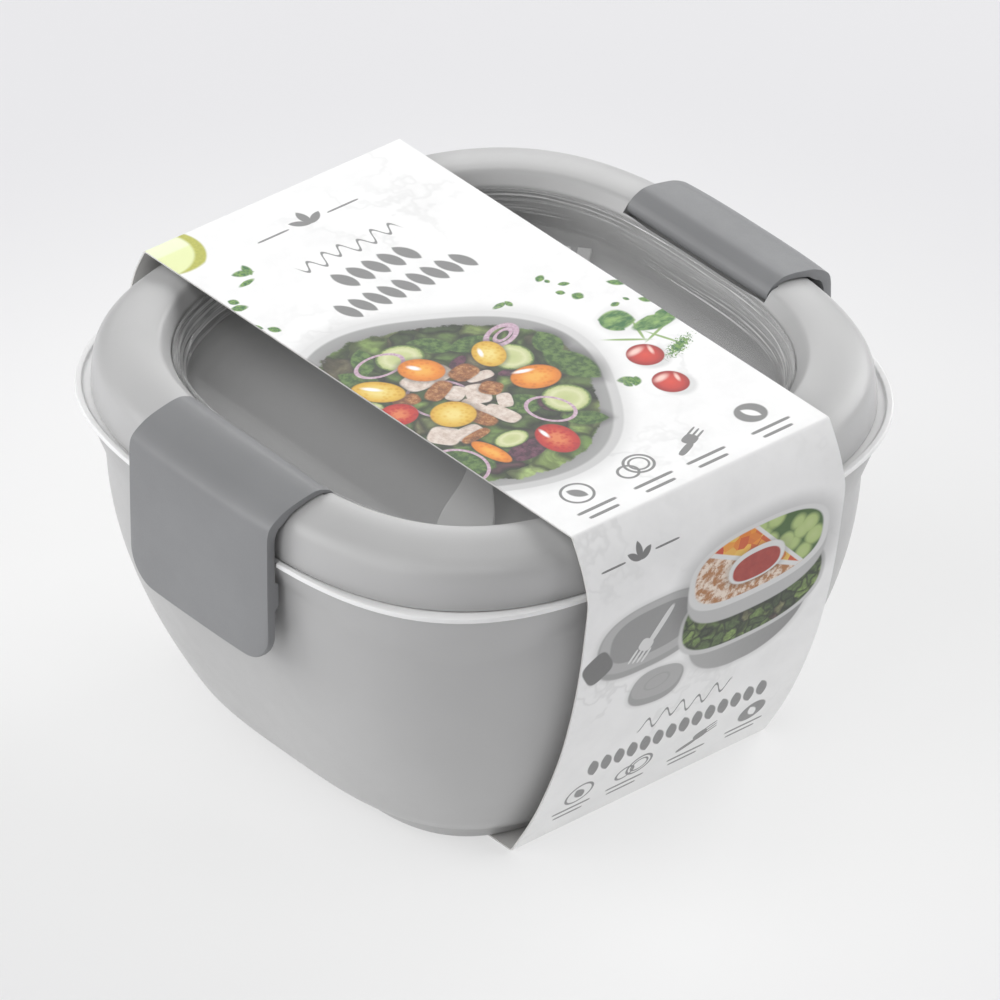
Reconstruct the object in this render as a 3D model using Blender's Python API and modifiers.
"""Square salad container: bowl, lift-out tray with a sauce cup, framed lid with a clear
cover over a fork, two swing latches and a printed card sleeve.

Metres, +Z up. The origin is on the floor, under the middle of the container. The latches
face -Y and +Y; the sleeve wraps over +X and -X and slides off along -Y.
"""
import math

import bmesh
import bpy
from mathutils import Matrix, Vector

MM = 0.001
GAP = 0.3 * MM                    # clearance between pieces that touch
COLUMNS = 56                      # sides of every rounded-square ring
TURNS = 32                        # sides of the round sauce cup pieces

# heights
CARD = 0.5 * MM                   # thickness of the sleeve's card
BASE_Z = CARD + GAP               # underside of the bowl's foot
LID_EDGE_Z = 90.6 * MM            # lower edge of the lid
RIM_Z = LID_EDGE_Z - 1.2 * MM     # top of the bowl's rim

# rounded squares: half width across the flats, and exponent (2 is a circle)
FLANGE_DEPTH = 3.0 * MM           # room above and below the lid's edge that holds the tray's flange
RIM_HALF, RIM_POWER = 89.5 * MM, 3.30
LID_HALF, LID_POWER = 88.8 * MM, 3.03

# bowl
BOWL_HALF = 88.5 * MM             # half width of the body just under the rim
BOWL_DRAW = 27.0 * MM             # how much the half width shrinks down to the base
BOWL_CURVE = 1.95                 # how late that happens
BOWL_POWER_TOP, BOWL_POWER_GAIN = 2.50, 0.75
BOWL_WALL = 2.2 * MM
BOWL_FLOOR = 2.6 * MM
BASE_ROUND = 8.8 * MM
FILLET_SHARES = (0.55, 0.25, 0.07, 0.0)
FOOT_WIDTH, FOOT_HEIGHT = 4.0 * MM, 0.9 * MM
COLLAR_SLOPE = 0.38               # inward run of the collar under the rim, per unit of drop

# latches
LATCH_HALF_WIDTH = 27.5 * MM
LATCH_FACE_IN = 91.0 * MM         # inner side of the hanging face
LATCH_BOTTOM = -30.5 * MM         # lower edge, from the lid's edge
LATCH_CORNER = 9.0 * MM
HOOK_IN = 89.9 * MM
HOOK_TOP, HOOK_BOTTOM = -5.6 * MM, -13.0 * MM
PIN_Y, PIN_UP = 72.6 * MM, 12.2 * MM
PIN_RADIUS, PIN_HALF_LENGTH = 0.8 * MM, 30.0 * MM
NOTCH_RADIUS = 2.8 * MM           # room in the lid for the latch's knuckle
NOTCH_MOUTH_Y = 66.0 * MM         # where that room opens over the recess
NOTCH_MOUTH_LOW, NOTCH_MOUTH_HIGH = 11.2 * MM, 16.0 * MM
HOOK_NOTCH_Y = 88.7 * MM          # the tray's flange is cut back to here, to let the hooks by

# sauce cup, in the tray's round well
WELL_RADIUS = 25.4 * MM
WELL_WALL = 1.6 * MM
DIVIDER_TOP = -10.6 * MM          # top of the tray's dividers, from the lid's edge
DIVIDER_WALL = 1.6 * MM
DIVIDER_REACH = 79.6 * MM         # a divider's outer end, inside the tray's wall
DIVIDER_LEAN = 4.6 * MM           # how far that end leans in with the wall, at the floor
TRAY_FLOOR = -31.0 * MM           # upper side of the tray's floor, from the lid's edge
TRAY_SINK = 0.6 * MM              # how far the well and dividers run into the floor
CUP_TOP = -13.2 * MM              # sauce cup's rim, from the lid's edge

# fork
FORK_TAIL = Vector((47.0, -48.0, 0.0)) * MM
FORK_TIP = Vector((-42.6, 58.6, 0.0)) * MM
FORK_THICKNESS = 1.8 * MM
SLOT_WIDTH, SLOT_LENGTH, TINE_PITCH = 2.0 * MM, 34.0 * MM, 5.6 * MM

# sleeve
SLEEVE_HALF_LENGTH = 42.0 * MM


def clear_scene():
    for thing in list(bpy.data.objects):
        bpy.data.objects.remove(thing, do_unlink=True)


def new_collection(name):
    collection = bpy.data.collections.new(name)
    bpy.context.scene.collection.children.link(collection)
    return collection


def make_material(name, colour, roughness, metallic=0.0, transmission=0.0):
    material = bpy.data.materials.new(name)
    material.use_nodes = True
    shader = material.node_tree.nodes["Principled BSDF"]
    shader.inputs["Base Color"].default_value = (*colour, 1.0)
    shader.inputs["Roughness"].default_value = roughness
    shader.inputs["Metallic"].default_value = metallic
    shader.inputs["Transmission Weight"].default_value = transmission
    return material


def squircle_radius(angle, half, power):
    """Distance from the axis to a rounded square, in the direction of the angle."""
    reach = abs(math.cos(angle)) ** power + abs(math.sin(angle)) ** power
    return half / reach ** (1.0 / power)


def squircle_y(x, half, power):
    """How far out a rounded square's side is at the offset x from its middle."""
    return half * (1.0 - (abs(x) / half) ** power) ** (1.0 / power)


def angles():
    return [2.0 * math.pi * column / COLUMNS for column in range(COLUMNS)]


def above_edge(height):
    return LID_EDGE_Z + height


def side_name(side):
    return "front" if side < 0.0 else "back"


def link_mesh(name, mesh_data, material, collection):
    mesh = bpy.data.meshes.new(name)
    mesh_data.to_mesh(mesh)
    mesh_data.free()
    mesh.shade_smooth()
    mesh.set_sharp_from_angle(angle=math.radians(35))
    item = bpy.data.objects.new(name, mesh)
    collection.objects.link(item)
    if material:
        mesh.materials.append(material)
    return item


def loft(name, rings, material, collection, closed=True, capped=False):
    """Joins rings of points, each with the same number. A closed loft is a hollow ring
    whose last row meets its first; a capped one has a flat face at each end."""
    mesh = bmesh.new()
    rows = [[mesh.verts.new(point) for point in ring] for ring in rings]
    last = len(rows) if closed else len(rows) - 1
    for index in range(last):
        low, high = rows[index], rows[(index + 1) % len(rows)]
        count = len(low)
        for column in range(count):
            after = (column + 1) % count
            mesh.faces.new((low[column], low[after], high[after], high[column]))
    if capped:
        mesh.faces.new(rows[0])
        mesh.faces.new(rows[-1])
    bmesh.ops.recalc_face_normals(mesh, faces=mesh.faces)
    return link_mesh(name, mesh, material, collection)


def squircle_ring(half, height, power):
    return [
        Vector((math.cos(a), math.sin(a), 0.0)) * squircle_radius(a, half, power)
        + Vector((0.0, 0.0, height))
        for a in angles()
    ]


def section_rings(section):
    """Rings for a list of (half width in mm, height over the lid's edge in mm, power)."""
    return [
        squircle_ring(half * MM, above_edge(height * MM), power)
        for half, height, power in section
    ]


def turned(name, profile, material, collection):
    """A turned piece from (radius, height) points in metres, listed down its outer side."""
    mesh = bmesh.new()
    points = [mesh.verts.new((radius, 0.0, height)) for radius, height in profile]
    for first, second in zip(points, points[1:]):
        mesh.edges.new((first, second))
    if profile[0][0] > 0.0:
        mesh.edges.new((points[-1], points[0]))
    item = link_mesh(name, mesh, material, collection)
    screw = item.modifiers.new("Turn", "SCREW")
    screw.axis = "Z"
    screw.steps = TURNS
    screw.render_steps = TURNS
    screw.use_merge_vertices = True
    screw.merge_threshold = 0.00001
    return item


def cylinder_along_x(name, radius, half_length, centre, collection, material=None, sides=16):
    mesh = bmesh.new()
    turn = Matrix.Rotation(math.pi / 2.0, 4, "Y")
    bmesh.ops.create_cone(
        mesh, cap_ends=True, segments=sides, radius1=radius, radius2=radius,
        depth=2.0 * half_length, matrix=Matrix.Translation(centre) @ turn,
    )
    return link_mesh(name, mesh, material, collection)


def box(name, low, high, collection):
    mesh = bmesh.new()
    middle = (Vector(low) + Vector(high)) / 2.0
    size = Vector(high) - Vector(low)
    matrix = Matrix.Translation(middle) @ Matrix.Diagonal((*size, 1.0))
    bmesh.ops.create_cube(mesh, size=1.0, matrix=matrix)
    return link_mesh(name, mesh, None, collection)


def boolean(item, other, operation):
    cut = item.modifiers.new(operation.title(), "BOOLEAN")
    cut.operation = operation
    cut.object = other
    cut.solver = "EXACT"
    return cut


def set_origin(item, point):
    """Moves a piece's origin to a point, and leaves its shape where it is."""
    item.data.transform(Matrix.Translation(-Vector(point)))
    item.location = point


def bowl_body_radius(angle, height):
    """Outside of the bowl's body at a height from the floor."""
    depth = min(max((RIM_Z - height) / (RIM_Z - BASE_Z), 0.0), 1.0)
    half = BOWL_HALF - BOWL_DRAW * depth ** BOWL_CURVE
    power = BOWL_POWER_TOP + BOWL_POWER_GAIN * (1.0 - (1.0 - depth) ** 2)
    above_base = height - BASE_Z
    if above_base < BASE_ROUND:
        rise = BASE_ROUND - above_base
        half -= BASE_ROUND - math.sqrt(BASE_ROUND ** 2 - rise ** 2)
    return squircle_radius(angle, half, power)


def collar_radius(angle, height):
    """Outside of the flared collar that carries the rim."""
    return squircle_radius(angle, RIM_HALF, RIM_POWER) - COLLAR_SLOPE * (RIM_Z - height)


def collar_foot(angle):
    """Height where the collar runs into the body, by halving."""
    low, high = RIM_Z - 40.0 * MM, RIM_Z
    for _ in range(30):
        middle = (low + high) / 2.0
        if collar_radius(angle, middle) > bowl_body_radius(angle, middle):
            high = middle
        else:
            low = middle
    return low


def bowl_outside(angle):
    """(radius, height) from the rim down to the middle of the base."""
    rows = 7
    foot, low = collar_foot(angle), BASE_Z + BASE_ROUND
    column = [(collar_radius(angle, RIM_Z), RIM_Z)]
    for row in range(rows + 1):
        height = foot + (low - foot) * row / rows
        column.append((bowl_body_radius(angle, height), height))
    for share in FILLET_SHARES:
        height = BASE_Z + BASE_ROUND * share
        column.append((bowl_body_radius(angle, height), height))
    edge = column[-1][0]
    column.append((edge - FOOT_WIDTH, BASE_Z))
    column.append((edge - FOOT_WIDTH - FOOT_HEIGHT, BASE_Z + FOOT_HEIGHT))
    return column


def bowl_inside(angle):
    """The same, one wall in. Its heights are lifted towards the floor's thickness."""
    rows = 5
    foot, low = collar_foot(angle), BASE_Z + BASE_ROUND
    lift = FOOT_HEIGHT + BOWL_FLOOR
    levels = [foot + (low - foot) * row / rows for row in range(rows + 1)]
    levels += [BASE_Z + BASE_ROUND * share for share in FILLET_SHARES]
    column = [(collar_radius(angle, RIM_Z) - BOWL_WALL, RIM_Z)]
    for level in levels:
        share = (foot - level) / (foot - BASE_Z)
        radius = bowl_body_radius(angle, level) - BOWL_WALL * (1.0 - 0.5 * share)
        column.append((radius, level + lift * share))
    return column


def make_bowl(material, collection):
    columns = [(angle, bowl_inside(angle)[::-1] + bowl_outside(angle)) for angle in angles()]
    rows = [
        [
            Vector((math.cos(a) * column[row][0], math.sin(a) * column[row][0], column[row][1]))
            for a, column in columns
        ]
        for row in range(len(columns[0][1]))
    ]
    return loft("bowl", rows, material, collection, closed=False, capped=True)


def make_tray(material, collection, cutters):
    section = [
        (70.0, -31.0, 2.8), (74.5, -29.4, 2.8), (77.0, -24.0, 2.85), (79.0, -8.0, 2.9),
        (80.2, -1.4, 2.95), (81.2, -0.3, 3.0), (89.1, -0.3, 3.35), (89.4, 0.4, 3.35),
        (90.2, 0.5, 3.35), (90.5, 0.2, 3.35), (90.5, -0.9, 3.35), (83.2, -0.9, 3.05),
        (81.9, -2.6, 3.0), (80.6, -9.0, 2.9), (78.6, -25.0, 2.85), (75.8, -31.0, 2.8),
        (69.8, -32.6, 2.8),
    ]
    tray = loft("tray", section_rings(section), material, collection, closed=False, capped=True)
    floor, top = above_edge(TRAY_FLOOR - TRAY_SINK), above_edge(DIVIDER_TOP)
    outer = WELL_RADIUS + WELL_WALL
    well = turned(
        "well_wall", [(WELL_RADIUS, floor), (WELL_RADIUS, top), (outer, top), (outer, floor)][::-1],
        None, cutters,
    )
    boolean(tray, well, "UNION")
    for index in range(4):
        wall = box(
            f"divider_{index}", (WELL_RADIUS + WELL_WALL / 2.0, -DIVIDER_WALL / 2.0, floor),
            (DIVIDER_REACH, DIVIDER_WALL / 2.0, top), cutters)
        for corner in wall.data.vertices:
            if corner.co.x > DIVIDER_REACH - GAP and corner.co.z < floor + GAP:
                corner.co.x -= DIVIDER_LEAN
        wall.data.transform(Matrix.Rotation(index * math.pi / 2.0, 4, "Z"))
        boolean(tray, wall, "UNION")
    for side in (-1.0, 1.0):
        low, high = sorted((side * HOOK_NOTCH_Y, side * LATCH_FACE_IN))
        notch = box(
            f"hook_notch_{side_name(side)}",
            (-LATCH_HALF_WIDTH - GAP, low, above_edge(-FLANGE_DEPTH)),
            (LATCH_HALF_WIDTH + GAP, high, above_edge(FLANGE_DEPTH)), cutters)
        boolean(tray, notch, "DIFFERENCE")
    return tray


def make_tray_seal(material, collection):
    """Wiper gasket round the tray's wall, just inside the bowl's rim."""
    section = [(83.6, -4.2, 3.1), (83.6, -1.3, 3.1), (86.8, -1.3, 3.25), (85.6, -4.2, 3.25)]
    return loft("tray_seal", section_rings(section), material, collection)


def make_lid_seal(material, collection):
    """Gasket in the groove under the lid's edge, just above the tray's flange."""
    section = [(84.6, 0.0, 3.03), (84.6, 3.4, 3.03), (86.2, 3.4, 3.03), (86.2, 0.0, 3.03)]
    return loft("lid_seal", section_rings(section), material, collection)


def lid_section():
    """The lid's frame and recess: outside, over the crest, into the recess, and back."""
    outside = [
        (88.8, 0.0, 3.03), (88.7, 4.0, 3.03), (88.3, 8.2, 3.03), (87.3, 10.6, 3.03),
        (85.4, 12.3, 3.03), (82.4, 13.4, 3.03), (79.0, 14.2, 3.03), (76.0, 14.4, 3.0),
        (73.6, 14.1, 3.0), (72.7, 13.6, 3.0), (70.9, 11.1, 3.0), (70.7, 10.6, 3.0),
    ]
    recess = [(70.7, 7.5, 3.0), (69.7, 7.5, 3.0), (68.2, -4.6, 3.0), (65.8, -7.0, 3.0)]
    underside = [
        (65.4, -8.6, 3.0), (69.4, -7.6, 3.0), (70.4, -5.0, 3.0), (71.8, 5.8, 3.0),
        (75.6, 7.0, 3.0), (76.6, 9.8, 3.0), (82.8, 10.2, 3.03), (82.8, 1.2, 3.03),
        (84.3, 1.2, 3.03), (84.3, 3.7, 3.03), (86.6, 3.7, 3.03), (86.7, 0.0, 3.03),
    ]
    return outside, recess, underside


def make_lid(material, collection, cutters):
    outside, recess, underside = lid_section()
    rings = section_rings(recess[::-1] + outside[::-1] + underside[::-1])
    lid = loft("lid", rings, material, collection, closed=False, capped=True)
    for side in (-1.0, 1.0):
        name = side_name(side)
        axis = Vector((0.0, side * PIN_Y, above_edge(PIN_UP)))
        notch = cylinder_along_x(
            f"notch_{name}", NOTCH_RADIUS, LATCH_HALF_WIDTH + GAP, axis, cutters, sides=24)
        low, high = sorted((side * NOTCH_MOUTH_Y, side * PIN_Y))
        mouth = box(
            f"notch_mouth_{name}", (-LATCH_HALF_WIDTH - GAP, low, above_edge(NOTCH_MOUTH_LOW)),
            (LATCH_HALF_WIDTH + GAP, high, above_edge(NOTCH_MOUTH_HIGH)), cutters)
        hole = cylinder_along_x(
            f"pin_hole_{name}", PIN_RADIUS + GAP, PIN_HALF_LENGTH + GAP, axis, cutters)
        boolean(lid, notch, "DIFFERENCE")
        boolean(lid, mouth, "DIFFERENCE")
        boolean(lid, hole, "DIFFERENCE")
    return lid


def make_window_cover(material, collection):
    section = [
        (66.0, 3.6, 3.0), (66.7, 3.9, 3.0), (68.0, 6.4, 3.0), (68.9, 10.2, 3.0),
        (69.3, 10.9, 3.0), (70.2, 10.9, 3.0), (70.4, 10.6, 3.0), (70.4, 7.8, 3.0),
        (69.4, 7.8, 3.0), (68.6, 4.6, 3.0), (67.3, 2.3, 3.0), (66.6, 2.2, 3.0),
    ]
    return loft(
        "window_cover", section_rings(section), material, collection, closed=False, capped=True)


def latch_section(x):
    """(distance out, height over the lid's edge) round the latch, knuckle first.
    The lower corners of the face are rounded, so its end climbs with x."""
    over = max(abs(x) - (LATCH_HALF_WIDTH - LATCH_CORNER), 0.0)
    lift = LATCH_CORNER - math.sqrt(max(LATCH_CORNER ** 2 - over ** 2, 0.0))
    low = LATCH_BOTTOM + lift
    clear = GAP / MM
    outer_top = [
        (70.75, 12.2), (71.2, 13.5), (72.6, 14.1 + clear + 0.5), (76.0, 14.4 + clear + 1.6),
        (79.0, 14.2 + clear + 1.7), (83.0, 13.3 + clear + 1.9), (87.6, 12.6 + clear + 1.5),
        (91.2, 12.4), (92.9, 10.8), (93.4, 8.4),
    ]
    outer_face = [(93.5, -8.0), (93.3, low / MM + 1.2), (92.6, low / MM)]
    inner_face = [
        (91.6, low / MM), (91.0, low / MM + 1.2), (91.0, HOOK_BOTTOM / MM - 1.0),
        (HOOK_IN / MM, HOOK_BOTTOM / MM), (HOOK_IN / MM, HOOK_TOP / MM - 0.6),
        (91.0, HOOK_TOP / MM), (91.0, 7.2),
    ]
    underside = [
        (90.0, 9.9), (87.4, 11.3), (85.5, 12.6 + clear), (82.4, 13.5 + clear),
        (79.0, 14.3 + clear), (76.0, 14.5 + clear), (74.4, 14.3 + clear), (74.1, 13.5),
        (74.3, 12.0), (73.6, 10.6), (72.2, 10.3), (71.1, 10.9),
    ]
    return [(out * MM, up * MM) for out, up in outer_top + outer_face + inner_face + underside]


def make_latch(name, side, material, collection, cutters):
    straight = LATCH_HALF_WIDTH - LATCH_CORNER
    rounded = [straight + LATCH_CORNER * math.sin(math.radians(turn)) for turn in (25, 48, 68, 90)]
    stations = [-x for x in rounded[::-1]] + [-straight, 0.0, straight] + rounded
    sections = []
    for x in stations:
        bow = squircle_y(x, LID_HALF, LID_POWER) - LID_HALF
        ring = []
        for out, up in latch_section(x):
            share = min(max((out - PIN_Y) / (LATCH_FACE_IN - PIN_Y), 0.0), 1.0)
            ring.append(Vector((x, side * (out + bow * share), above_edge(up))))
        sections.append(ring)
    latch = loft(name, sections, material, collection, closed=False, capped=True)
    axis = Vector((0.0, side * PIN_Y, above_edge(PIN_UP)))
    hole = cylinder_along_x(
        f"{name}_bore", PIN_RADIUS + GAP, LATCH_HALF_WIDTH + 2.0 * MM, axis, cutters)
    boolean(latch, hole, "DIFFERENCE")
    set_origin(latch, axis)
    return latch


def make_pin(name, side, material, collection):
    axis = Vector((0.0, side * PIN_Y, above_edge(PIN_UP)))
    return cylinder_along_x(name, PIN_RADIUS, PIN_HALF_LENGTH, axis, collection, material, 12)


def fork_half_width(share):
    """Half width along the fork: a flared tail, a slim stem and a broad head."""
    knots = [
        (0.0, 8.6), (0.03, 9.2), (0.10, 7.0), (0.25, 3.7), (0.45, 3.3), (0.60, 4.2),
        (0.68, 8.0), (0.76, 10.6), (0.90, 10.9), (1.0, 10.2),
    ]
    for (start, first), (end, second) in zip(knots, knots[1:]):
        if share <= end:
            blend = (share - start) / (end - start)
            blend = blend * blend * (3.0 - 2.0 * blend)
            return (first + (second - first) * blend) * MM
    return knots[-1][1] * MM


def fork_height(share):
    """Underside of the fork over the lid's edge: the stem arches and the tines curl up."""
    arch = 2.6 * math.sin(math.pi * min(share / 0.72, 1.0)) ** 2
    curl = 3.6 * max((share - 0.70) / 0.30, 0.0) ** 2
    return (-6.7 + arch + curl) * MM


def make_fork(material, collection, cutters):
    length = (FORK_TIP - FORK_TAIL).length
    along = (FORK_TIP - FORK_TAIL).normalized()
    across = Vector((-along.y, along.x, 0.0))
    up = Vector((0.0, 0.0, 1.0))
    rings = []
    steps = 30
    for step in range(steps + 1):
        share = step / steps
        middle = FORK_TAIL + along * length * share + up * above_edge(fork_height(share))
        half = fork_half_width(share)
        lip = 0.35 * MM
        outline = [
            (-half, lip), (-half, FORK_THICKNESS - lip), (-half + lip, FORK_THICKNESS),
            (half - lip, FORK_THICKNESS), (half, FORK_THICKNESS - lip), (half, lip),
            (half - lip, 0.0), (-half + lip, 0.0),
        ]
        rings.append([middle + across * side + up * height for side, height in outline])
    fork = loft("fork", rings, material, collection, closed=False, capped=True)
    for index in (-1, 0, 1):
        offset = index * TINE_PITCH
        tip = FORK_TIP + across * offset + along * 2.0 * MM
        root = FORK_TIP + across * offset - along * SLOT_LENGTH
        mesh = bmesh.new()
        turn = Matrix.Rotation(math.atan2(along.y, along.x), 4, "Z")
        size = Matrix.Diagonal(((tip - root).length, SLOT_WIDTH, 20.0 * MM, 1.0))
        middle = Matrix.Translation((tip + root) / 2.0 + up * above_edge(0.0))
        bmesh.ops.create_cube(mesh, size=1.0, matrix=middle @ turn @ size)
        slot = link_mesh(f"slot_{index + 1}", mesh, None, cutters)
        boolean(fork, slot, "DIFFERENCE")
    return fork


def make_sauce_cup(material, collection):
    low = above_edge(TRAY_FLOOR) + GAP
    top = above_edge(CUP_TOP)
    profile = [
        (23.2 * MM, top), (24.9 * MM, top), (24.9 * MM, top - 1.2 * MM),
        (24.5 * MM, top - 1.6 * MM), (23.4 * MM, low + 2.5 * MM), (21.6 * MM, low),
        (18.0 * MM, low), (17.2 * MM, low + 0.6 * MM), (0.0, low + 0.6 * MM),
        (0.0, low + 2.2 * MM), (20.4 * MM, low + 2.2 * MM), (22.0 * MM, low + 4.2 * MM),
    ]
    # the profile is a loop on one side of the axis, so it is opened on the axis
    start = profile.index((0.0, low + 2.2 * MM))
    return turned("sauce_cup", profile[start:] + profile[:start], material, collection)


def make_sauce_lid(material, collection):
    low = above_edge(CUP_TOP) + GAP
    profile = [
        (0.0, low + 1.3 * MM), (19.5 * MM, low + 1.3 * MM), (20.2 * MM, low + 1.9 * MM),
        (24.4 * MM, low + 1.9 * MM), (24.9 * MM, low + 1.4 * MM), (24.9 * MM, low),
        (21.6 * MM, low), (21.6 * MM, low - 3.6 * MM), (20.0 * MM, low - 3.6 * MM),
        (20.0 * MM, low - 0.3 * MM), (0.0, low - 0.3 * MM),
    ]
    return turned("sauce_lid", profile, material, collection)


def make_sauce_seal(material, collection):
    top = above_edge(CUP_TOP) - 0.4 * MM
    profile = [
        (21.9 * MM, top), (22.9 * MM, top), (22.9 * MM, top - 2.4 * MM),
        (21.9 * MM, top - 2.4 * MM),
    ]
    return turned("sauce_seal", profile, material, collection)


def sleeve_outline():
    """Outside of the sleeve's section in X and Z, for the +X half, from the top down."""
    half = [
        (84.9, 17.3), (87.9, 11.8), (89.7, 7.6), (91.4, 1.6), (91.4, -1.6), (90.5, -8.0),
        (89.1, -18.0), (87.1, -29.0), (84.4, -40.0), (81.0, -51.5), (76.0, -64.0), (69.9, -77.0),
    ]
    outline = [(x * MM, above_edge(up * MM)) for x, up in half]
    outline.append((61.6 * MM, 0.0))
    return outline


def make_sleeve(material, collection):
    half = sleeve_outline()
    outline = half + [(-x, z) for x, z in half[::-1]]
    mesh = bmesh.new()
    near = [mesh.verts.new((x, -SLEEVE_HALF_LENGTH, z)) for x, z in outline]
    far = [mesh.verts.new((x, SLEEVE_HALF_LENGTH, z)) for x, z in outline]
    for index in range(len(outline)):
        after = (index + 1) % len(outline)
        mesh.faces.new((near[index], near[after], far[after], far[index]))
    bmesh.ops.recalc_face_normals(mesh, faces=mesh.faces)
    sleeve = link_mesh("sleeve", mesh, material, collection)
    card = sleeve.modifiers.new("Card", "SOLIDIFY")
    card.thickness = CARD
    card.offset = -1.0
    card.use_even_offset = True
    return sleeve


def build():
    clear_scene()
    parts = new_collection("snap_lid_food_container")
    cutters = new_collection("cutters")

    grey = make_material("grey_polypropylene", (0.52, 0.52, 0.53), 0.42)
    lid_grey = make_material("lid_polypropylene", (0.55, 0.55, 0.56), 0.40)
    white = make_material("white_polypropylene", (0.86, 0.86, 0.86), 0.35)
    slate = make_material("slate_plastic", (0.26, 0.27, 0.29), 0.45)
    clear = make_material("clear_plastic", (0.95, 0.95, 0.95), 0.05, 0.0, 1.0)
    fork_grey = make_material("fork_plastic", (0.50, 0.50, 0.50), 0.35)
    cup_grey = make_material("sauce_cup_plastic", (0.60, 0.60, 0.61), 0.38)
    silicone = make_material("silicone", (0.80, 0.80, 0.80), 0.60)
    steel = make_material("pin_steel", (0.60, 0.60, 0.60), 0.30, 1.0)
    card = make_material("printed_card", (0.90, 0.90, 0.90), 0.55)

    make_bowl(grey, parts)
    make_tray(white, parts, cutters)
    make_tray_seal(silicone, parts)
    make_sauce_cup(cup_grey, parts)
    make_sauce_lid(cup_grey, parts)
    make_sauce_seal(silicone, parts)
    make_lid(lid_grey, parts, cutters)
    make_lid_seal(silicone, parts)
    make_window_cover(clear, parts)
    make_fork(fork_grey, parts, cutters)
    make_latch("latch_front", -1.0, slate, parts, cutters)
    make_latch("latch_back", 1.0, slate, parts, cutters)
    make_pin("latch_pin_front", -1.0, steel, parts)
    make_pin("latch_pin_back", 1.0, steel, parts)
    make_sleeve(card, parts)

    for guide in cutters.objects:
        guide.hide_render = True
        guide.display_type = "WIRE"


build()
